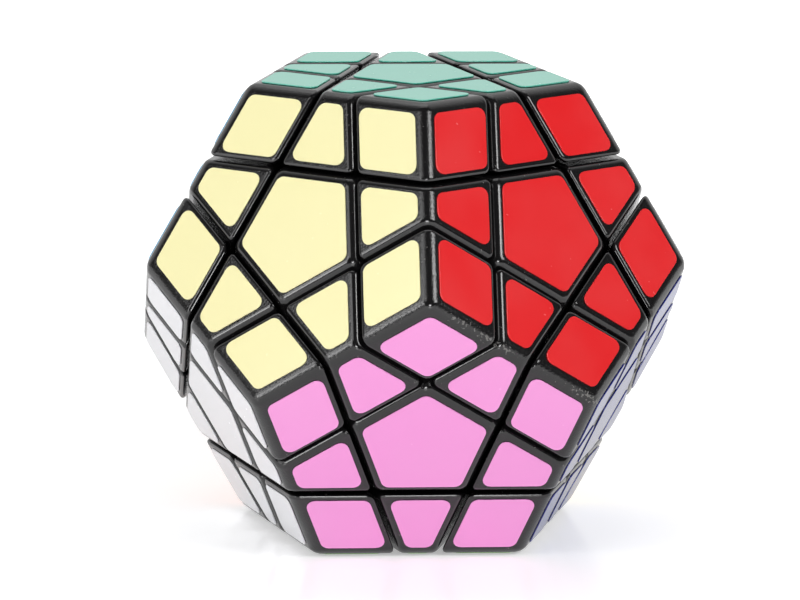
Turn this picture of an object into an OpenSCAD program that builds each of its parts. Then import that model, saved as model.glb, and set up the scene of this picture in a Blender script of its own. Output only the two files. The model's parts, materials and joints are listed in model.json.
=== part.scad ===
// Twelve-sided twisty puzzle: a core with screws and springs, and the pieces that turn on it.
// The origin is the puzzle's centre, +Z goes up through the green face, and -Y is the front.

/* [Body] */
// Edge length of the twelve-sided body
edge_len = 30; // [26:0.5:40]
// Depth of a turning layer below its face
layer_t = 10.5; // [9:0.1:11]
// Gap between neighbouring pieces
cut_gap = 0.5; // [0.3:0.05:0.7]
// Width of the rounded rim round each tile
rim_w = 0.6; // [0.4:0.05:0.9]
// Width of the rounded ridges where two or three tiles of a piece meet
ridge_round = 0.9; // [0.5:0.05:1.4]
// Width of the rounded corners of each tile, along its cuts
turn_w = 1; // [0.5:0.05:1.5]
// Number of flats that round a rim or a corner
rim_flats = 2; // [1:1:4]

/* [Stickers] */
// Thickness of a sticker
sticker_t = 0.15; // [0.1:0.05:0.4]
// Glue layer below a sticker
glue_t = 0.05; // [0.03:0.01:0.1]
// Bare border between a sticker and the cuts round its tile
border_w = 1; // [1:0.05:2]
// Bare border between a sticker and an edge of the body
ridge_w = 1.55; // [1:0.05:2.5]
// Corner radius of a sticker
sticker_round = 1.25; // [0.5:0.05:2]

/* [Mechanism] */
// Thickness of a cap over the feet, on its axis
cap_t = 2; // [1.8:0.1:2.6]
// Gap between the feet and the caps over them
slide_gap = 0.3; // [0.2:0.05:0.5]
// Wall of the barrel under a centre's cap
barrel_wall = 2.05; // [1.5:0.05:2.5]
// Floor of the barrel, between the spring and the post
floor_t = 2; // [1.5:0.1:3]
// Gap between a post and the barrel over it
end_gap = 0.3; // [0.2:0.05:0.5]
// Gap between a spring and the barrel round it
bore_gap = 0.4; // [0.3:0.05:0.6]
// Gap between pieces that are pressed or screwed together
fit_gap = 0.05; // [0.03:0.01:0.08]
// Height of a foot
foot_t = 5.6; // [4.5:0.1:6]
// Thickness of the lid of a centre
lid_t = 1.2; // [1:0.1:1.3]
// Length of the spigot under a lid
spigot_h = 2; // [1:0.1:3]
// Radius of the core's ball
core_r = 11.5; // [10:0.1:12]
// Height of the posts on the core's ball
post_h = 4.2; // [3:0.1:4.5]
// Radius of the posts
post_r = 4.2; // [3.5:0.1:4.6]
// Radius of a screw's thread
screw_r = 1.5; // [1.2:0.1:1.6]
// Depth of a screw in the core
screw_in = 8.5; // [6:0.1:9]
// Thickness of the washer under a screw's head
washer_t = 0.5; // [0.4:0.1:0.8]
// Height of a screw's head, with its washer
head_t = 2.1; // [1.8:0.1:2.4]
// How much wider the head is than the thread, on each side
head_lip = 1.1; // [0.8:0.1:1.3]
// Length of the cross recess in a screw's head
recess_len = 3.2; // [2.6:0.1:3.6]
// Width of the recess
recess_w = 0.6; // [0.4:0.1:0.8]
// Depth of the recess
recess_t = 1; // [0.6:0.1:1.2]
// Mean radius of a spring
spring_r = 2.55; // [2.4:0.05:2.6]
// Wire diameter of a spring
wire_d = 0.5; // [0.4:0.05:0.6]
// Number of turns of a spring
spring_turns = 4; // [3:0.5:5]
// Length of a spring between its seat and the screw's head
spring_len = 6; // [4.5:0.1:7]

/* [Hidden] */
tilt = atan(2);
face_r = edge_len * sqrt((25 + 11 * sqrt(5)) / 40);
in_r = edge_len / (2 * tan(36));
cut_r = face_r - layer_t;
shell_r = face_r - cap_t;
foot_top = shell_r - slide_gap;
half_gap = cut_gap / 2;
bore_r = spring_r + wire_d / 2 + bore_gap;
stem_r = bore_r + barrel_wall;
// The feet stop where a neighbouring centre's barrel meets its cap.
foot_r = shell_r * cos(tilt) + stem_r * sin(tilt) + half_gap;
post_top = core_r + post_h;
stem_z = post_top + end_gap;
seat_z = stem_z + floor_t;
head_z = seat_z + spring_len;
lid_z = face_r - lid_t;
big = 3 * edge_len;

// The twelve faces: one on top, five around it, five below those, and one at the bottom.
names = [
    "green", "red", "grey", "purple", "sky", "cream",
    "pink", "blue", "yellow", "orange", "white", "lime"
];
function face(name) = [for (i = [0:len(names) - 1]) if (names[i] == name) i][0];
tints = [
    [0.05, 0.42, 0.30], [0.85, 0.10, 0.10], [0.55, 0.56, 0.58], [0.42, 0.20, 0.60],
    [0.45, 0.75, 0.92], [0.97, 0.93, 0.66], [0.98, 0.50, 0.80], [0.10, 0.14, 0.50],
    [0.98, 0.82, 0.10], [0.97, 0.48, 0.08], [0.94, 0.94, 0.95], [0.50, 0.82, 0.25]
];
plastic = [0.05, 0.05, 0.055];
steel = [0.70, 0.71, 0.73];

function polar(t, a) = [sin(t) * cos(a), sin(t) * sin(a), cos(t)];
normals = concat(
    [[0, 0, 1]],
    [for (k = [0:4]) polar(tilt, 72 * k - 54)],
    [for (k = [0:4]) polar(180 - tilt, 72 * k - 90)],
    [[0, 0, -1]]
);

// Faces as one piece sees them: its own face up, and a neighbouring face at each fifth of a turn.
up = [0, 0, 1];
function side(k) = polar(tilt, 72 * k);
function unit(v) = v / norm(v);

// Half-spaces are [normal, distance] pairs: "below" keeps what is under a plane, "above" what is over it.
function below(n, d) = [n, d];
function above(n, d) = [-n, -d];
function outer(n) = below(n, face_r);
function in_layer(n) = above(n, cut_r + half_gap);
function off_layer(n) = below(n, cut_r - half_gap);
function foot_in(n) = above(n, foot_r + half_gap);
function foot_off(n) = below(n, foot_r - half_gap);

// Flats that round the edge between two half-spaces, with the same width on the face whatever the angle.
function rounding(p, q, w) =
    let (turn = acos(p[0] * q[0]), r = w / tan(turn / 2))
    [for (i = [1:rim_flats])
        let (f = i / (rim_flats + 1),
             a = sin((1 - f) * turn) / sin(turn), b = sin(f * turn) / sin(turn))
        [a * p[0] + b * q[0], a * (p[1] - r) + b * (q[1] - r) + r]];
function roundings(pairs, w) = [for (s = pairs) each rounding(s[0], s[1], w)];
function rims(f, sides) = roundings([for (s = sides) [outer(f), s]], rim_w);

module half_space(p) {
    rotate([0, acos(p[0][2]), atan2(p[0][1], p[0][0])])
        translate([-big, -big, p[1] - 2 * big]) cube(2 * big);
}
module solid(planes) {
    intersection_for (p = planes) half_space(p);
}

// Puts a piece that was drawn with its face up onto face a, turned towards face b.
module at(a, b) {
    z = normals[face(a)];
    n = normals[face(b)];
    x = unit(n - (n * z) * z);
    y = cross(z, x);
    multmatrix([[x[0], y[0], z[0], 0], [x[1], y[1], z[1], 0], [x[2], y[2], z[2], 0]]) children();
}
module on_each_face() {
    for (f = [0:11]) rotate([0, acos(normals[f][2]), atan2(normals[f][1], normals[f][0])]) children();
}

// Centre: a cap on a barrel that turns round its screw, with a lid pressed into the top.
module centre_cell() {
    ring = [for (k = [0:4]) off_layer(side(k))];
    turns = roundings([for (k = [0:4]) [ring[k], ring[(k + 1) % 5]]], turn_w);
    solid(concat([outer(up), in_layer(up)], ring, turns, rims(up, concat(ring, turns))));
}
module hub() {
    difference() {
        union() {
            intersection() {
                difference() {
                    centre_cell();
                    sphere(r = shell_r, $fn = 96);
                }
                half_space(below(up, lid_z - fit_gap));
            }
            translate([0, 0, stem_z]) cylinder(r = stem_r, h = lid_z - fit_gap - stem_z, $fn = 64);
        }
        translate([0, 0, seat_z]) cylinder(r = bore_r, h = face_r, $fn = 48);
        cylinder(r = screw_r + 2 * fit_gap, h = face_r, $fn = 32);
    }
}
module lid() {
    intersection() {
        centre_cell();
        half_space(above(up, lid_z));
    }
    translate([0, 0, lid_z - spigot_h]) cylinder(r = bore_r - fit_gap, h = spigot_h + lid_t / 2, $fn = 48);
}

// Edge: a two-tile piece, hollow at both ends for the corners' feet, with its own foot under the centres.
module edge_body() {
    b = side(0);
    ends = [side(1), side(-1)];
    m = unit(up + b);
    ring = [for (e = ends) off_layer(e)];
    turns_up = roundings([for (s = ring) [in_layer(b), s]], turn_w);
    turns_b = roundings([for (s = ring) [in_layer(up), s]], turn_w);
    ridge = rounding(outer(up), outer(b), ridge_round);
    difference() {
        solid(concat([outer(up), outer(b), in_layer(up), in_layer(b)], ring, turns_up, turns_b, ridge,
                     rims(up, concat([in_layer(b)], ring, turns_up)),
                     rims(b, concat([in_layer(up)], ring, turns_b)),
                     roundings([for (r = ridge, s = ring) [r, s]], rim_w)));
        for (e = ends) intersection() {
            sphere(r = shell_r, $fn = 96);
            half_space(above(e, foot_r - half_gap - 2 * fit_gap));
        }
    }
    intersection() {
        solid(concat([foot_in(up), foot_in(b), above(m, foot_top - foot_t)],
                     [for (e = ends) foot_off(e)]));
        sphere(r = foot_top, $fn = 96);
    }
}

// Corner: a three-tile piece with a foot that reaches under the edges and the centres.
module corner_body() {
    f = [up, side(0), side(1)];
    v = unit(f[0] + f[1] + f[2]);
    cuts = [for (n = f) in_layer(n)];
    turns = [for (i = [0:2]) rounding(cuts[(i + 1) % 3], cuts[(i + 2) % 3], turn_w)];
    ridges = [for (i = [0:2]) rounding(outer(f[(i + 1) % 3]), outer(f[(i + 2) % 3]), ridge_round)];
    solid(concat([for (n = f) outer(n)], cuts, [for (t = turns) each t], [for (r = ridges) each r],
                 [for (i = [0:2]) each rims(f[i], concat([cuts[(i + 1) % 3], cuts[(i + 2) % 3]], turns[i]))],
                 roundings([for (i = [0:2]) each [for (r = ridges[i]) [r, cuts[i]]]], rim_w)));
    intersection() {
        solid(concat([for (n = f) foot_in(n)], [above(v, foot_top - foot_t)]));
        sphere(r = foot_top, $fn = 96);
    }
}

// Stickers, drawn flat on the face that is up. A line is [direction, distance].
function cut_line(k, off, inset) = [72 * k, (cut_r + off - face_r * cos(tilt)) / sin(tilt) + inset];
function near(k) = cut_line(k, -half_gap, -border_w);
function far(k) = cut_line(k, half_gap, border_w);
function rim(k) = [72 * k, in_r - ridge_w];
function meet(p, q) =
    let (d = sin(q[0] - p[0]))
    [(p[1] * sin(q[0]) - q[1] * sin(p[0])) / d, (q[1] * cos(p[0]) - p[1] * cos(q[0])) / d];
function rounded(pts) = [
    for (i = [0:len(pts) - 1])
        let (n = len(pts), p = pts[i], u = unit(p - pts[(i + n - 1) % n]), w = unit(pts[(i + 1) % n] - p),
             a = [u[1], -u[0]], b = [w[1], -w[0]], turn = acos(a * b),
             c = p - (a + b) / (1 + a * b) * sticker_round)
            for (s = [0:3])
                let (g = atan2(a[1], a[0]) + turn * s / 3) c + sticker_round * [cos(g), sin(g)]
];
module sticker(pts) {
    translate([0, 0, face_r + glue_t]) linear_extrude(sticker_t) polygon(rounded(pts));
}
module centre_sticker() {
    sticker([for (k = [0:4]) meet(near(k), near(k + 1))]);
}
module edge_sticker() {
    sticker([meet(far(0), near(-1)), meet(rim(0), near(-1)), meet(rim(0), near(1)), meet(far(0), near(1))]);
}
module corner_sticker() {
    sticker([meet(far(0), far(1)), meet(rim(0), far(1)), meet(rim(0), rim(1)), meet(far(0), rim(1))]);
}

// Pieces with their stickers. A piece is named by the faces that its tiles lie on.
module centre_piece(a, b) {
    color(plastic) at(a, b) {
        hub();
        lid();
    }
    color(tints[face(a)]) at(a, b) centre_sticker();
}
module edge_piece(a, b) {
    color(plastic) at(a, b) edge_body();
    color(tints[face(a)]) at(a, b) edge_sticker();
    color(tints[face(b)]) at(b, a) edge_sticker();
}
module corner_piece(a, b, c) {
    color(plastic) at(a, b) corner_body();
    color(tints[face(a)]) at(a, b) corner_sticker();
    color(tints[face(b)]) at(b, c) corner_sticker();
    color(tints[face(c)]) at(c, a) corner_sticker();
}

module core() {
    color(plastic) difference() {
        union() {
            sphere(r = core_r, $fn = 64);
            on_each_face() cylinder(r = post_r, h = post_top, $fn = 48);
        }
        on_each_face() translate([0, 0, post_top - screw_in - floor_t / 2])
            cylinder(r = screw_r + fit_gap, h = screw_in + floor_t, $fn = 32);
    }
}

// Screws with a washer under the head and a cross recess.
module screws() {
    color(steel) on_each_face() difference() {
        union() {
            translate([0, 0, post_top - screw_in])
                cylinder(r = screw_r, h = head_z + washer_t - post_top + screw_in, $fn = 32);
            translate([0, 0, head_z]) cylinder(r = bore_r - bore_gap, h = washer_t, $fn = 48);
            translate([0, 0, head_z]) cylinder(r = screw_r + head_lip, h = head_t, $fn = 48);
        }
        for (t = [0, 90]) rotate([0, 0, t])
            translate([-recess_len / 2, -recess_w / 2, head_z + head_t - recess_t])
                cube([recess_len, recess_w, 2 * recess_t]);
    }
}

// Springs: a square-section coil, eight steps to a turn.
module coil() {
    steps = round(8 * spring_turns);
    lift = (spring_len - wire_d - 2 * fit_gap) / steps;
    w = wire_d / 2;
    ring = [for (i = [0:steps]) each
        let (a = 45 * i, z = seat_z + fit_gap + w + lift * i)
        [for (s = [[-w, -w], [w, -w], [w, w], [-w, w]])
            [(spring_r + s[0]) * cos(a), (spring_r + s[0]) * sin(a), z + s[1]]]];
    sides = [for (i = [0:steps - 1], s = [0:3]) each
        let (p = 4 * i + s, q = 4 * i + (s + 1) % 4)
        [[p, p + 4, q + 4], [p, q + 4, q]]];
    polyhedron(ring, concat(sides, [[0, 1, 2], [0, 2, 3]],
        [[4 * steps, 4 * steps + 2, 4 * steps + 1], [4 * steps, 4 * steps + 3, 4 * steps + 2]]));
}
module springs() {
    color(steel) on_each_face() coil();
}

// One module for each node.
module centre_green() {
    centre_piece("green", "red");
}
module centre_red() {
    centre_piece("red", "green");
}
module centre_grey() {
    centre_piece("grey", "green");
}
module centre_purple() {
    centre_piece("purple", "green");
}
module centre_sky() {
    centre_piece("sky", "green");
}
module centre_cream() {
    centre_piece("cream", "green");
}
module centre_pink_base_edge() {
    centre_piece("pink", "lime");
    edge_piece("pink", "lime");
}
module centre_blue_base_edge() {
    centre_piece("blue", "lime");
    edge_piece("blue", "lime");
}
module centre_yellow_base_edge() {
    centre_piece("yellow", "lime");
    edge_piece("yellow", "lime");
}
module centre_orange_base_edge() {
    centre_piece("orange", "lime");
    edge_piece("orange", "lime");
}
module centre_white_base_edge() {
    centre_piece("white", "lime");
    edge_piece("white", "lime");
}
module centre_lime() {
    centre_piece("lime", "pink");
}
module edge_green_red() {
    edge_piece("green", "red");
}
module edge_green_grey() {
    edge_piece("green", "grey");
}
module edge_green_purple() {
    edge_piece("green", "purple");
}
module edge_green_sky() {
    edge_piece("green", "sky");
}
module edge_green_cream() {
    edge_piece("green", "cream");
}
module edge_red_grey() {
    edge_piece("red", "grey");
}
module edge_red_cream() {
    edge_piece("red", "cream");
}
module edge_red_pink() {
    edge_piece("red", "pink");
}
module edge_red_blue() {
    edge_piece("red", "blue");
}
module edge_grey_purple() {
    edge_piece("grey", "purple");
}
module edge_grey_blue() {
    edge_piece("grey", "blue");
}
module edge_grey_yellow() {
    edge_piece("grey", "yellow");
}
module edge_purple_sky() {
    edge_piece("purple", "sky");
}
module edge_purple_yellow() {
    edge_piece("purple", "yellow");
}
module edge_purple_orange() {
    edge_piece("purple", "orange");
}
module edge_sky_cream() {
    edge_piece("sky", "cream");
}
module edge_sky_orange() {
    edge_piece("sky", "orange");
}
module edge_sky_white() {
    edge_piece("sky", "white");
}
module edge_cream_pink() {
    edge_piece("cream", "pink");
}
module edge_cream_white() {
    edge_piece("cream", "white");
}
module edge_pink_blue() {
    edge_piece("pink", "blue");
}
module edge_pink_white() {
    edge_piece("pink", "white");
}
module edge_blue_yellow() {
    edge_piece("blue", "yellow");
}
module edge_yellow_orange() {
    edge_piece("yellow", "orange");
}
module edge_orange_white() {
    edge_piece("orange", "white");
}
module corner_green_red_grey() {
    corner_piece("green", "red", "grey");
}
module corner_green_cream_red() {
    corner_piece("green", "cream", "red");
}
module corner_green_grey_purple() {
    corner_piece("green", "grey", "purple");
}
module corner_green_purple_sky() {
    corner_piece("green", "purple", "sky");
}
module corner_green_sky_cream() {
    corner_piece("green", "sky", "cream");
}
module corner_red_blue_grey() {
    corner_piece("red", "blue", "grey");
}
module corner_red_cream_pink() {
    corner_piece("red", "cream", "pink");
}
module corner_red_pink_blue() {
    corner_piece("red", "pink", "blue");
}
module corner_grey_yellow_purple() {
    corner_piece("grey", "yellow", "purple");
}
module corner_grey_blue_yellow() {
    corner_piece("grey", "blue", "yellow");
}
module corner_purple_orange_sky() {
    corner_piece("purple", "orange", "sky");
}
module corner_purple_yellow_orange() {
    corner_piece("purple", "yellow", "orange");
}
module corner_sky_white_cream() {
    corner_piece("sky", "white", "cream");
}
module corner_sky_orange_white() {
    corner_piece("sky", "orange", "white");
}
module corner_cream_white_pink() {
    corner_piece("cream", "white", "pink");
}
module corner_pink_lime_blue() {
    corner_piece("pink", "lime", "blue");
}
module corner_pink_white_lime() {
    corner_piece("pink", "white", "lime");
}
module corner_blue_lime_yellow() {
    corner_piece("blue", "lime", "yellow");
}
module corner_yellow_lime_orange() {
    corner_piece("yellow", "lime", "orange");
}
module corner_orange_lime_white() {
    corner_piece("orange", "lime", "white");
}

core();
screws();
springs();
centre_green();
centre_red();
centre_grey();
centre_purple();
centre_sky();
centre_cream();
centre_pink_base_edge();
centre_blue_base_edge();
centre_yellow_base_edge();
centre_orange_base_edge();
centre_white_base_edge();
centre_lime();
edge_green_red();
edge_green_grey();
edge_green_purple();
edge_green_sky();
edge_green_cream();
edge_red_grey();
edge_red_cream();
edge_red_pink();
edge_red_blue();
edge_grey_purple();
edge_grey_blue();
edge_grey_yellow();
edge_purple_sky();
edge_purple_yellow();
edge_purple_orange();
edge_sky_cream();
edge_sky_orange();
edge_sky_white();
edge_cream_pink();
edge_cream_white();
edge_pink_blue();
edge_pink_white();
edge_blue_yellow();
edge_yellow_orange();
edge_orange_white();
corner_green_red_grey();
corner_green_cream_red();
corner_green_grey_purple();
corner_green_purple_sky();
corner_green_sky_cream();
corner_red_blue_grey();
corner_red_cream_pink();
corner_red_pink_blue();
corner_grey_yellow_purple();
corner_grey_blue_yellow();
corner_purple_orange_sky();
corner_purple_yellow_orange();
corner_sky_white_cream();
corner_sky_orange_white();
corner_cream_white_pink();
corner_pink_lime_blue();
corner_pink_white_lime();
corner_blue_lime_yellow();
corner_yellow_lime_orange();
corner_orange_lime_white();
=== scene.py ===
"""Twelve-sided twisty puzzle: moulded pieces with vinyl stickers on a pale studio floor."""
import itertools
import json
import math

import bmesh
import bpy
from mathutils import Matrix, Vector


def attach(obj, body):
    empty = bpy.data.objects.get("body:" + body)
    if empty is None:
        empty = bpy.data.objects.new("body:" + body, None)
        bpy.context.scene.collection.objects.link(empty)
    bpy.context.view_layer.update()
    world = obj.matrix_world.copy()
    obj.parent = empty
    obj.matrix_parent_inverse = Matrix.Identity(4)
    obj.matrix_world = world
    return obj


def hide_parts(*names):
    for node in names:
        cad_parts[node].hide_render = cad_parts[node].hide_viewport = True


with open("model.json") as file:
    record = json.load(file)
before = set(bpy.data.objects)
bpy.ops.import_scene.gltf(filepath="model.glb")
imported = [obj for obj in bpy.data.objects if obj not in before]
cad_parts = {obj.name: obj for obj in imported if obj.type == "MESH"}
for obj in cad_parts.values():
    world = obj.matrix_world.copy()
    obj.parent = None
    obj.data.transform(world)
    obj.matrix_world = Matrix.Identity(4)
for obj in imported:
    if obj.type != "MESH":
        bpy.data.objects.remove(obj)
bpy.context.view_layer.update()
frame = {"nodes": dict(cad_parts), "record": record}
body_of = {node: body for body, nodes in frame["record"]["behaviour"]["bodies"].items() for node in nodes}

# Sizes in millimetres, as in the part's source. Three differ: rims and ridges are rounder here, the stickers have a
# lip, and the barrels end 0.25 mm higher, inside their caps.
MM = 0.001
EDGE = 30.0  # of the twelve-sided body
LAYER = 10.5  # depth of a turning layer
GAP = 0.5  # between neighbouring pieces
RIM, BLEND, TURN = 0.9, 1.3, 1.0  # rounds of the rims, of the ridges, and of a tile's corners
BORDER, RIDGE = 1.0, 1.55  # bare plastic between a sticker and a cut, and between a sticker and a ridge
STICKER_ROUND, STICKER_LIP = 1.25, 0.05  # rounds of a sticker's corners and of its upper edge
STICKER_LOW, STICKER_TOP = 0.05, 0.2  # heights of a sticker's two sides above the tile
CAP, SLIDE = 2.0, 0.3  # thickness of a cap on its axis, and the gap under it
FOOT_T = 5.6  # height of a foot
STEM, STEM_Z, STEM_DEEP = 5.25, 16.0, 1.0  # a barrel's radius, its low end, and the depth of its upper end
BORE, SEAT_Z, LID = 3.2, 18.0, 3.2  # a bore's radius, its floor, and the depth that the lid takes
SCREW = 1.6  # radius of the hole for a screw
SPARE, SPARE_HOLE = 0.1, 1.0  # how far a hollow and a hole are cut past their ends

TILT = math.atan(2)  # angle between the axes of two neighbouring faces
FIFTH = 72  # degrees from one neighbour of a face to the next
UPPER_AZ, LOWER_AZ = -54, -90  # directions of the first upper and the first lower face
FACE_R = EDGE * math.sqrt((25 + 11 * math.sqrt(5)) / 40)
IN_R = EDGE / (2 * math.tan(math.radians(FIFTH / 2)))
CUT_R = FACE_R - LAYER
SHELL_R = FACE_R - CAP
FOOT_TOP = SHELL_R - SLIDE
FOOT_R = SHELL_R * math.cos(TILT) + STEM * math.sin(TILT) + GAP / 2

# How fine the meshes are.
BLOCK = 200  # side of the block that a piece is carved from
SNAP = 1e-6  # points this near to a cut lie on it
FACING = 0.999  # least cosine between a tile and its face
ROUND_STEPS, CORNER_STEPS, LIP_STEPS = 4, 5, 2
ROD_SIDES, BALL_STEPS = 48, 5
SHARP = math.radians(32)  # bends above this angle stay sharp

COLOURS = [
    "green", "red", "grey", "purple", "sky", "cream",
    "pink", "blue", "yellow", "orange", "white", "lime",
]
BASE = "lime"  # the bottom face
HANDLED = ("red", "pink")  # the ridge between these two faces is scuffed
RIM_WEAR = 0.2  # scuffs on the other rims
KIND = {1: "centre", 2: "edge", 3: "corner"}
UP = Vector((0, 0, 1))


def polar(tilt, azimuth):
    a = math.radians(azimuth)
    return Vector((math.sin(tilt) * math.cos(a), math.sin(tilt) * math.sin(a), math.cos(tilt)))


NORMALS = dict(zip(COLOURS, (
    [UP]
    + [polar(TILT, FIFTH * k + UPPER_AZ) for k in range(5)]
    + [polar(math.pi - TILT, FIFTH * k + LOWER_AZ) for k in range(5)]
    + [-UP])))


def side(k):
    """The axis of a neighbour of the upper face, as the pieces are drawn."""
    return polar(TILT, FIFTH * k)


def neighbours(a, b):
    return math.isclose(NORMALS[a].dot(NORMALS[b]), math.cos(TILT), abs_tol=0.01)


# Camera, fitted to the stickers in the photograph: degrees, millimetres, and the focal length in pixels.
CAM_AZ, CAM_EL, CAM_ROLL, CAM_DIST = -93.81, 12.08, 0.48, 743.7
CAM_SIDE, CAM_LIFT, CAM_FOCAL = 1.55, 0.23, 5066.0
PHOTO_W, SENSOR_W = 800, 36


def make_camera():
    az, el = math.radians(CAM_AZ), math.radians(CAM_EL)
    back = Vector((math.cos(el) * math.cos(az), math.cos(el) * math.sin(az), math.sin(el)))
    right = Vector((-math.sin(az), math.cos(az), 0))
    up = back.cross(right)
    turn = Matrix((right, up, back)).transposed() @ Matrix.Rotation(math.radians(CAM_ROLL), 3, "Z")
    place = turn @ Vector((-CAM_SIDE, -CAM_LIFT, CAM_DIST)) * MM
    data = bpy.data.cameras.new("camera")
    data.sensor_width = SENSOR_W
    data.lens = CAM_FOCAL / PHOTO_W * SENSOR_W
    data.clip_start = 0.01
    camera = bpy.data.objects.new("camera", data)
    camera.matrix_world = Matrix.Translation(place) @ turn.to_4x4()
    bpy.context.scene.collection.objects.link(camera)
    bpy.context.scene.camera = camera


HALF = (0.4, 0.6)  # turns a count of flags into 0 or 1


class Value:
    """An output of a shader node, for shader maths as Python expressions."""

    def __init__(self, shader, socket):
        self.shader, self.socket = shader, socket

    def math(self, operation, a, b):
        return self.shader.node("ShaderNodeMath", {"operation": operation}, {0: a, 1: b})

    def __add__(self, other):
        return self.math("ADD", self, other)

    def __sub__(self, other):
        return self.math("SUBTRACT", self, other)

    def __rsub__(self, other):
        return self.math("SUBTRACT", other, self)

    def __mul__(self, other):
        return self.math("MULTIPLY", self, other)

    __radd__, __rmul__ = __add__, __mul__

    def over(self, low, high):
        """0 below low, 1 above high, smooth between."""
        return self.shader.node(
            "ShaderNodeMapRange", {"interpolation_type": "SMOOTHSTEP"},
            {"Value": self, "From Min": low, "From Max": high})


class Shader:
    """The node tree of a material or of the world, with its one main node."""

    def __init__(self, owner, main):
        owner.use_nodes = True
        self.tree = owner.node_tree
        self.main = self.tree.nodes[main]

    def fill(self, node, sockets):
        for key, v in sockets.items():
            if isinstance(v, Value):
                self.tree.links.new(v.socket, node.inputs[key])
            else:
                node.inputs[key].default_value = v

    def node(self, kind, settings=None, sockets=None, out=0):
        """A node of any kind: its settings are set first, then the values or links of its sockets."""
        node = self.tree.nodes.new(kind)
        for key, v in (settings or {}).items():
            setattr(node, key, v)
        self.fill(node, sockets or {})
        return Value(self, node.outputs[out])

    def rays(self, *kinds):
        """1 for rays of these kinds and 0 for others."""
        flags = [self.node("ShaderNodeLightPath", out="Is %s Ray" % kind) for kind in kinds]
        return sum(flags[1:], flags[0]).over(*HALF)

    def put(self, **sockets):
        self.fill(self.main, {key.replace("_", " "): v for key, v in sockets.items()})


class Finish(Shader):
    """A material with one Principled shader."""

    def __init__(self, name):
        self.material = bpy.data.materials.new(name)
        super().__init__(self.material, "Principled BSDF")
        self.place = self.node("ShaderNodeTexCoord", out="Object")

    def painted(self, name):
        """A value that the mesh carries at its points."""
        return self.node("ShaderNodeAttribute", {"attribute_name": name}, out="Fac")

    def noise(self, scale, detail):
        return self.node("ShaderNodeTexNoise", {}, {"Vector": self.place, "Scale": scale, "Detail": detail})

    def mix(self, factor, a, b):
        return self.node("ShaderNodeMix", {"data_type": "RGBA"}, {0: factor, 6: a, 7: b}, out=2)

    def bump(self, height, depth, strength):
        return self.node("ShaderNodeBump", {}, {"Height": height, "Distance": depth, "Strength": strength})


def linear(r, g, b):
    """A colour given in screen values from 0 to 255."""
    return tuple(
        c / 255 / 12.92 if c <= 10 else ((c / 255 + 0.055) / 1.055) ** 2.4
        for c in (r, g, b)) + (1.0,)


def moulded_plastic(name, colour, worn, roughness):
    """Plastic with a fine spark grain and smoother rims, scuffed where it is handled."""
    f = Finish(name)
    grain = f.noise(scale=3400, detail=2.0)
    cloud = f.noise(scale=130, detail=3.0)
    scratch = f.noise(scale=2300, detail=3.0)
    wear, polish = f.painted("wear"), f.painted("polish")
    patches = cloud.over(0.36, 0.60)
    scuff = (scratch + wear * patches * 0.25).over(0.71, 0.79)
    relief = (grain - 0.5) * (1 - polish * 0.85)
    f.put(
        Base_Color=f.mix(scuff, colour, worn),
        Roughness=roughness + (cloud - 0.5) * 0.10 + scuff * 0.25 - polish * 0.05,
        Normal=f.bump(relief, depth=0.00004, strength=0.8),
        IOR=1.56,
    )
    return f.material


def vinyl(name, colour):
    """Sticker film: a smooth face with a faint orange peel, slight fading and a few dust specks."""
    f = Finish(name)
    cloud = f.noise(scale=60, detail=2.0)
    peel = f.noise(scale=700, detail=2.0)
    speck = f.noise(scale=1500, detail=0.0).over(0.86, 0.88)
    faded = cloud.over(0.3, 0.8) * 0.25
    pale = tuple(c + (1 - c) * 0.10 for c in colour[:3]) + (1.0,)
    f.put(
        Base_Color=f.mix(faded + speck * 0.6, colour, pale),
        Roughness=0.21 + (cloud - 0.5) * 0.04 + speck * 0.3,
        Normal=f.bump(peel, depth=0.000015, strength=0.35),
        IOR=1.52,
    )
    return f.material


def turned_steel(name):
    f = Finish(name)
    lines = f.noise(scale=5000, detail=2.0)
    tarnish = f.noise(scale=300, detail=2.0).over(0.4, 0.7)
    f.put(
        Base_Color=f.mix(tarnish, linear(186, 188, 192), linear(150, 152, 156)),
        Roughness=0.28 + lines * 0.12,
        Metallic=1.0,
        Normal=f.bump(lines, depth=0.00001, strength=0.4),
    )
    return f.material


BLACK = moulded_plastic("black_plastic", linear(19, 18, 19), linear(108, 106, 104), roughness=0.18)
CORE_BLACK = moulded_plastic("core_plastic", linear(38, 38, 40), linear(90, 90, 90), roughness=0.45)
STEEL = turned_steel("turned_steel")
FILM = {name: vinyl("sticker_" + name, linear(*rgb)) for name, rgb in {
    "green": (78, 194, 168), "red": (235, 34, 38), "grey": (150, 152, 156), "purple": (112, 58, 156),
    "sky": (120, 196, 236), "cream": (251, 244, 186), "pink": (255, 164, 229), "blue": (32, 44, 132),
    "yellow": (252, 214, 32), "orange": (250, 128, 26), "white": (240, 240, 243), "lime": (134, 214, 66),
}.items()}


def to_mesh(bm, name="scratch"):
    mesh = bpy.data.meshes.new(name)
    bm.to_mesh(mesh)
    bm.free()
    return mesh


def as_object(bm, name="scratch"):
    return bpy.data.objects.new(name, to_mesh(bm, name))


def join(bm, other):
    """Lays a second solid beside the first, in one mesh."""
    mesh = to_mesh(other)
    bm.from_mesh(mesh)
    bpy.data.meshes.remove(mesh)
    return bm


def combine(bm, tool, operation):
    """Cuts one solid with another."""
    a, b = as_object(bm), as_object(tool)
    for o in (a, b):
        bpy.context.scene.collection.objects.link(o)
    cut = a.modifiers.new("cut", "BOOLEAN")
    cut.object, cut.operation, cut.solver = b, operation, "EXACT"
    mesh = bpy.data.meshes.new_from_object(a.evaluated_get(bpy.context.evaluated_depsgraph_get()))
    for o in (a, b):
        bpy.data.objects.remove(o)
    out = bmesh.new()
    out.from_mesh(mesh)
    bpy.data.meshes.remove(mesh)
    return out


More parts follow.
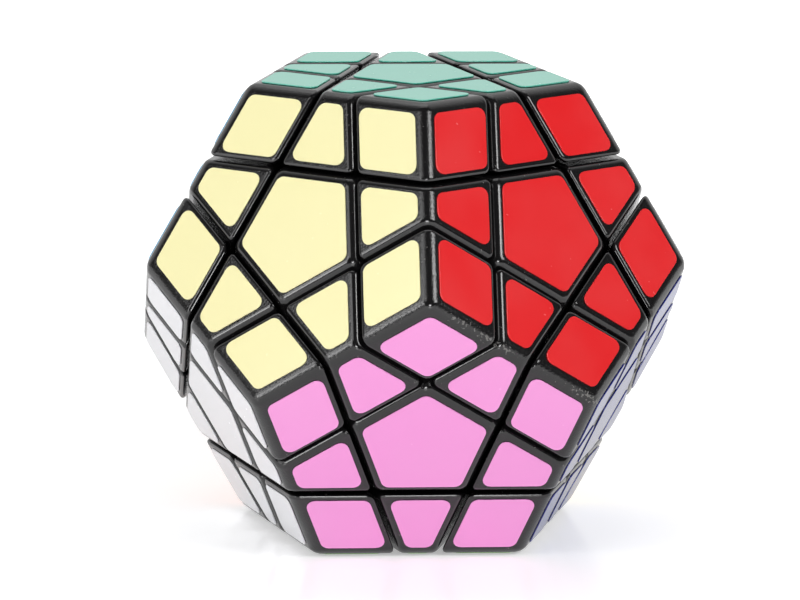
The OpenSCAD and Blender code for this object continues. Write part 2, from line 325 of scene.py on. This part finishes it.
def bevel(bm, geom, width, steps, affect="EDGES", clamp=True):
    return bmesh.ops.bevel(
        bm, geom=geom, offset=width, offset_type="OFFSET", segments=steps, profile=0.5,
        affect=affect, clamp_overlap=clamp, material=-1)["faces"]


# Convex pieces: a block carved by planes, given as (normal, distance) with the kept side below.
def above(n, d):
    """A plane that keeps the side above it."""
    return -n, -d


def carve(planes):
    bm = bmesh.new()
    bmesh.ops.create_cube(bm, size=BLOCK)
    for n, d in planes:
        cut = bmesh.ops.bisect_plane(
            bm, geom=bm.verts[:] + bm.edges[:] + bm.faces[:], dist=SNAP,
            plane_co=n * d, plane_no=n, clear_outer=True)["geom_cut"]
        bmesh.ops.holes_fill(bm, edges=[e for e in cut if isinstance(e, bmesh.types.BMEdge)])
    bmesh.ops.recalc_face_normals(bm, faces=bm.faces)
    return bm


def round_rims(bm, outer):
    """Rounds the tiles in plan, then the ridges and the rims, and marks those two as polished."""
    def shown(f):
        return any(f.normal.dot(n) > FACING for n in outer)

    def outside(f):
        return shown(f) or f in blends

    touched = {v for f in bm.faces if shown(f) for v in f.verts}
    bevel(bm, [e for e in bm.edges
               if any(v in touched for v in e.verts)
               and not any(shown(f) for f in e.link_faces)], TURN, ROUND_STEPS)
    blends = bevel(bm, [e for e in bm.edges
                        if len(e.link_faces) == 2
                        and all(shown(f) for f in e.link_faces)], BLEND, ROUND_STEPS)
    strips = set(blends)
    strips.update(bevel(bm, [e for e in bm.edges
                             if any(outside(f) for f in e.link_faces)
                             and not all(outside(f) for f in e.link_faces)], RIM, ROUND_STEPS))
    polish = bm.verts.layers.float.new("polish")
    for v in bm.verts:
        v[polish] = all(f in strips for f in v.link_faces)
    return bm


def ball(radius):
    bm = bmesh.new()
    bmesh.ops.create_icosphere(bm, subdivisions=BALL_STEPS, radius=radius)
    return bm


def rod(radius, low, high):
    bm = bmesh.new()
    bmesh.ops.create_cone(
        bm, cap_ends=True, segments=ROD_SIDES, radius1=radius, radius2=radius, depth=high - low)
    bmesh.ops.translate(bm, verts=bm.verts, vec=(0, 0, (low + high) / 2))
    return bm


def in_layer(n):
    return above(n, CUT_R + GAP / 2)


def off_layer(n):
    return n, CUT_R - GAP / 2


def foot_in(n):
    return above(n, FOOT_R + GAP / 2)


def foot(planes, lean):
    """The part of a piece that reaches in under its neighbours."""
    return combine(carve(planes + [above(lean, FOOT_TOP - FOOT_T)]), ball(FOOT_TOP), "INTERSECT")


def centre_body():
    ring = [off_layer(side(k)) for k in range(5)]
    cap = round_rims(carve([(UP, FACE_R), in_layer(UP)] + ring), [UP])
    cap = combine(cap, ball(SHELL_R), "DIFFERENCE")
    barrel = combine(rod(STEM, STEM_Z, FACE_R - STEM_DEEP), rod(BORE, SEAT_Z, FACE_R - LID), "DIFFERENCE")
    hole = rod(SCREW, STEM_Z - SPARE_HOLE, SEAT_Z + SPARE_HOLE)
    return join(cap, combine(barrel, hole, "DIFFERENCE"))


def edge_body():
    b, ends = side(0), [side(1), side(-1)]
    body = carve([(UP, FACE_R), (b, FACE_R), in_layer(UP), in_layer(b)] + [off_layer(e) for e in ends])
    body = round_rims(body, [UP, b])
    for e in ends:
        hollow = combine(ball(SHELL_R), carve([above(e, FOOT_R - GAP / 2 - SPARE)]), "INTERSECT")
        body = combine(body, hollow, "DIFFERENCE")
    lean = (UP + b).normalized()
    return join(body, foot([foot_in(UP), foot_in(b)] + [(e, FOOT_R - GAP / 2) for e in ends], lean))


def corner_body():
    faces = [UP, side(0), side(1)]
    body = round_rims(carve([(n, FACE_R) for n in faces] + [in_layer(n) for n in faces]), faces)
    return join(body, foot([foot_in(n) for n in faces], sum(faces, Vector()).normalized()))


# Stickers, drawn flat. A line is (direction, distance), and two lines meet in a corner.
def cut_line(k, shift):
    middle = (CUT_R + shift * GAP / 2 - FACE_R * math.cos(TILT)) / math.sin(TILT)
    return FIFTH * k, middle + shift * BORDER


def near(k):
    return cut_line(k, -1)


def far(k):
    return cut_line(k, 1)


def ridge(k):
    return FIFTH * k, IN_R - RIDGE


def meet(p, q):
    a, b = math.radians(p[0]), math.radians(q[0])
    d = math.sin(b - a)
    x = (p[1] * math.sin(b) - q[1] * math.sin(a)) / d
    y = (q[1] * math.cos(a) - p[1] * math.cos(b)) / d
    return Vector((x, y, FACE_R + STICKER_LOW))


def sticker(*corners):
    """A film with rounded corners and a softened upper edge."""
    bm = bmesh.new()
    sheet = bm.faces.new([bm.verts.new(meet(p, q)) for p, q in corners])
    for v in list(sheet.verts):
        reach = STICKER_ROUND * math.tan(v.calc_edge_angle() / 2)
        bevel(bm, [v], reach, CORNER_STEPS, affect="VERTICES", clamp=False)
    raised = bmesh.ops.extrude_face_region(bm, geom=bm.faces[:])["geom"]
    raised = [v for v in raised if isinstance(v, bmesh.types.BMVert)]
    bmesh.ops.translate(bm, verts=raised, vec=(0, 0, STICKER_TOP - STICKER_LOW))
    bmesh.ops.recalc_face_normals(bm, faces=bm.faces)
    middle = FACE_R + (STICKER_LOW + STICKER_TOP) / 2
    lip = [e for e in bm.edges if all(v.co.z > middle for v in e.verts)]
    bevel(bm, lip, STICKER_LIP, LIP_STEPS)
    return bm


BODY = {n: to_mesh(bm, "stored") for n, bm in enumerate((centre_body(), edge_body(), corner_body()), 1)}
TILE = {n: to_mesh(sticker(*corners), "stored") for n, corners in {
    1: [(near(k), near(k + 1)) for k in range(5)],
    2: [(far(0), near(-1)), (ridge(0), near(-1)), (ridge(0), near(1)), (far(0), near(1))],
    3: [(far(0), far(1)), (ridge(0), far(1)), (ridge(0), ridge(1)), (far(0), ridge(1))],
}.items()}


def onto(a, b):
    """Turns what is drawn with its face up onto face a, pointing towards face b."""
    z = NORMALS[a]
    x = (NORMALS[b] - NORMALS[b].dot(z) * z).normalized()
    return Matrix((x, z.cross(x), z)).transposed().to_4x4()


def piece(faces, node):
    """One moulding with its stickers, in place of its CAD node."""
    n = len(faces)
    ring = list(faces) if n > 1 else [faces[0], next(c for c in COLOURS if neighbours(faces[0], c))]
    bm = bmesh.new()
    bm.from_mesh(BODY[n])
    bmesh.ops.transform(bm, matrix=onto(ring[0], ring[1]), verts=bm.verts)
    for i, face in enumerate(faces):
        film = bmesh.new()
        film.from_mesh(TILE[n])
        bmesh.ops.transform(film, matrix=onto(face, ring[(i + 1) % len(ring)]), verts=film.verts)
        for f in film.faces:
            f.material_index = i + 1
        join(bm, film)
    polish, wear = bm.verts.layers.float["polish"], bm.verts.layers.float.new("wear")
    for v in bm.verts:
        low, high = sorted(FACE_R - v.co.dot(NORMALS[c]) for c in HANDLED)
        v[wear] = 1 - (high - low) / BLEND if high < BLEND else RIM_WEAR * v[polish]
    bmesh.ops.scale(bm, vec=(MM, MM, MM), verts=bm.verts)
    for f in bm.faces:
        f.smooth = True
    made = as_object(bm, "_".join([KIND[n], *faces, "moulding"]))
    made.data.set_sharp_from_angle(angle=SHARP)
    for m in [BLACK] + [FILM[f] for f in faces]:
        made.data.materials.append(m)
    made.modifiers.new("shading", "WEIGHTED_NORMAL").keep_sharp = True
    bpy.context.scene.collection.objects.link(made)
    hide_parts(node)
    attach(made, body_of[node])


def cyclic(faces):
    a, b, c = faces
    return faces if NORMALS[a].cross(NORMALS[b]).dot(NORMALS[c]) > 0 else (a, c, b)


def node_of(faces):
    """The CAD node of the piece with these tiles. A bottom edge is in the node of the centre above it."""
    if len(faces) == 2:
        faces = [f for f in faces if f != BASE]
    name = "_".join([KIND[len(faces)], *faces])
    return name if name in body_of else name + "_base_edge"


for count in KIND:
    for group in itertools.combinations(COLOURS, count):
        if all(neighbours(a, b) for a, b in itertools.combinations(group, 2)):
            faces = cyclic(group) if count == 3 else group
            piece(faces, node_of(faces))

for name, finish in (("core", CORE_BLACK), ("screws", STEEL), ("springs", STEEL)):
    frame["nodes"][name].data.materials.clear()
    frame["nodes"][name].data.materials.append(finish)


# Studio, in metres: a pale floor, a white surround and soft lamps.
FLOOR_Z = -(FACE_R + STICKER_TOP) * MM
FLOOR_SIZE = 6
GLOW_IN_PAINTED_SHADE = 0.38  # share of the floor's glow that is left under the object, as a painted shade round it
GLOW_FROM, GLOW_FULL = 0.08, 0.34  # the glow grows between these distances, so the painted shade fades out
WORLD, BACKDROP = 0.06, 0.6  # light from all round, and more of it from behind the object
DARK = 0.06  # the surround in front of the object, as a mirror shows it
BEHIND = (-0.05, 0.55)  # the surround turns white between these directions
WHITE, NO_LIGHT = (1, 1, 1, 1), (0, 0, 0, 1)
LAMPS = {  # azimuth and height in degrees, distance, width and length, radiance
    "key_lamp": (-141, 9.5, 0.85, 0.20, 0.22, 9.2),
    "border_box": (-150, 28, 0.85, 0.23, 0.23, 6.3),
    "front_box": (-90, 7, 0.85, 0.22, 0.12, 16.5),
    "high_box": (-136, 43, 0.80, 0.38, 0.15, 2.7),
    "right_box": (-42, 34.5, 0.90, 0.36, 0.36, 8.2),
    "ridge_lamp": (-47, 48, 0.90, 0.08, 0.15, 12.0),
    "left_box": (-162, 7, 0.80, 0.22, 0.25, 2.0),
    "top_box": (90, 75, 0.90, 0.60, 0.60, 1.2),
}


def make_floor():
    """Pale paper that glows to the eye and in mirrors, less near the object as a painted shade, but does not light
    the object.
    """
    bm = bmesh.new()
    bmesh.ops.create_grid(bm, x_segments=1, y_segments=1, size=FLOOR_SIZE)
    floor = as_object(bm, "floor")
    floor.location.z = FLOOR_Z
    f = Finish("floor_paper")
    paper = f.noise(scale=40, detail=3.0)
    reach = f.node("ShaderNodeVectorMath", {"operation": "LENGTH"}, {"Vector": f.place}, out="Value")
    # painted shade: the glow is turned down near the object, so the floor stays darker round it under any light
    glow_with_painted_shade = GLOW_IN_PAINTED_SHADE + (1 - GLOW_IN_PAINTED_SHADE) * reach.over(GLOW_FROM, GLOW_FULL)
    glow = f.rays("Camera", "Glossy", "Transmission") * glow_with_painted_shade
    f.put(
        Base_Color=f.mix(paper, linear(244, 244, 245), linear(250, 250, 251)),
        Roughness=0.16 + paper * 0.06,
        Emission_Color=f.mix(glow, NO_LIGHT, WHITE),
        Emission_Strength=1.0,
        IOR=1.2,
    )
    floor.data.materials.append(f.material)
    bpy.context.scene.collection.objects.link(floor)


def make_world():
    """White to the camera, white behind the object, and darker where the camera stands."""
    world = bpy.data.worlds.new("studio")
    bpy.context.scene.world = world
    s = Shader(world, "Background")
    seen, mirrored = s.rays("Camera"), s.rays("Glossy", "Transmission")
    direction = s.node("ShaderNodeTexCoord", out="Generated")
    behind = s.node("ShaderNodeSeparateXYZ", {}, {0: direction}, out="Y").over(*BEHIND)
    fill = WORLD + behind * BACKDROP
    level = fill + mirrored * (DARK + behind * (1 - DARK) - fill)
    s.put(Color=WHITE, Strength=level + seen * (1 - level))


def soft_lamp(name, azimuth, height, distance, width, length, radiance):
    """A rectangular lamp that faces the object."""
    place = polar(math.radians(90 - height), azimuth) * distance
    data = bpy.data.lights.new(name, "AREA")
    data.shape, data.size, data.size_y = "RECTANGLE", width, length
    data.energy = radiance * math.pi * width * length
    lamp = bpy.data.objects.new(name, data)
    lamp.location = place
    lamp.rotation_euler = (-place).to_track_quat("-Z", "Y").to_euler()
    bpy.context.scene.collection.objects.link(lamp)


bpy.context.scene.view_settings.view_transform = "Standard"
make_camera()
make_floor()
make_world()
for name, values in LAMPS.items():
    soft_lamp(name, *values)
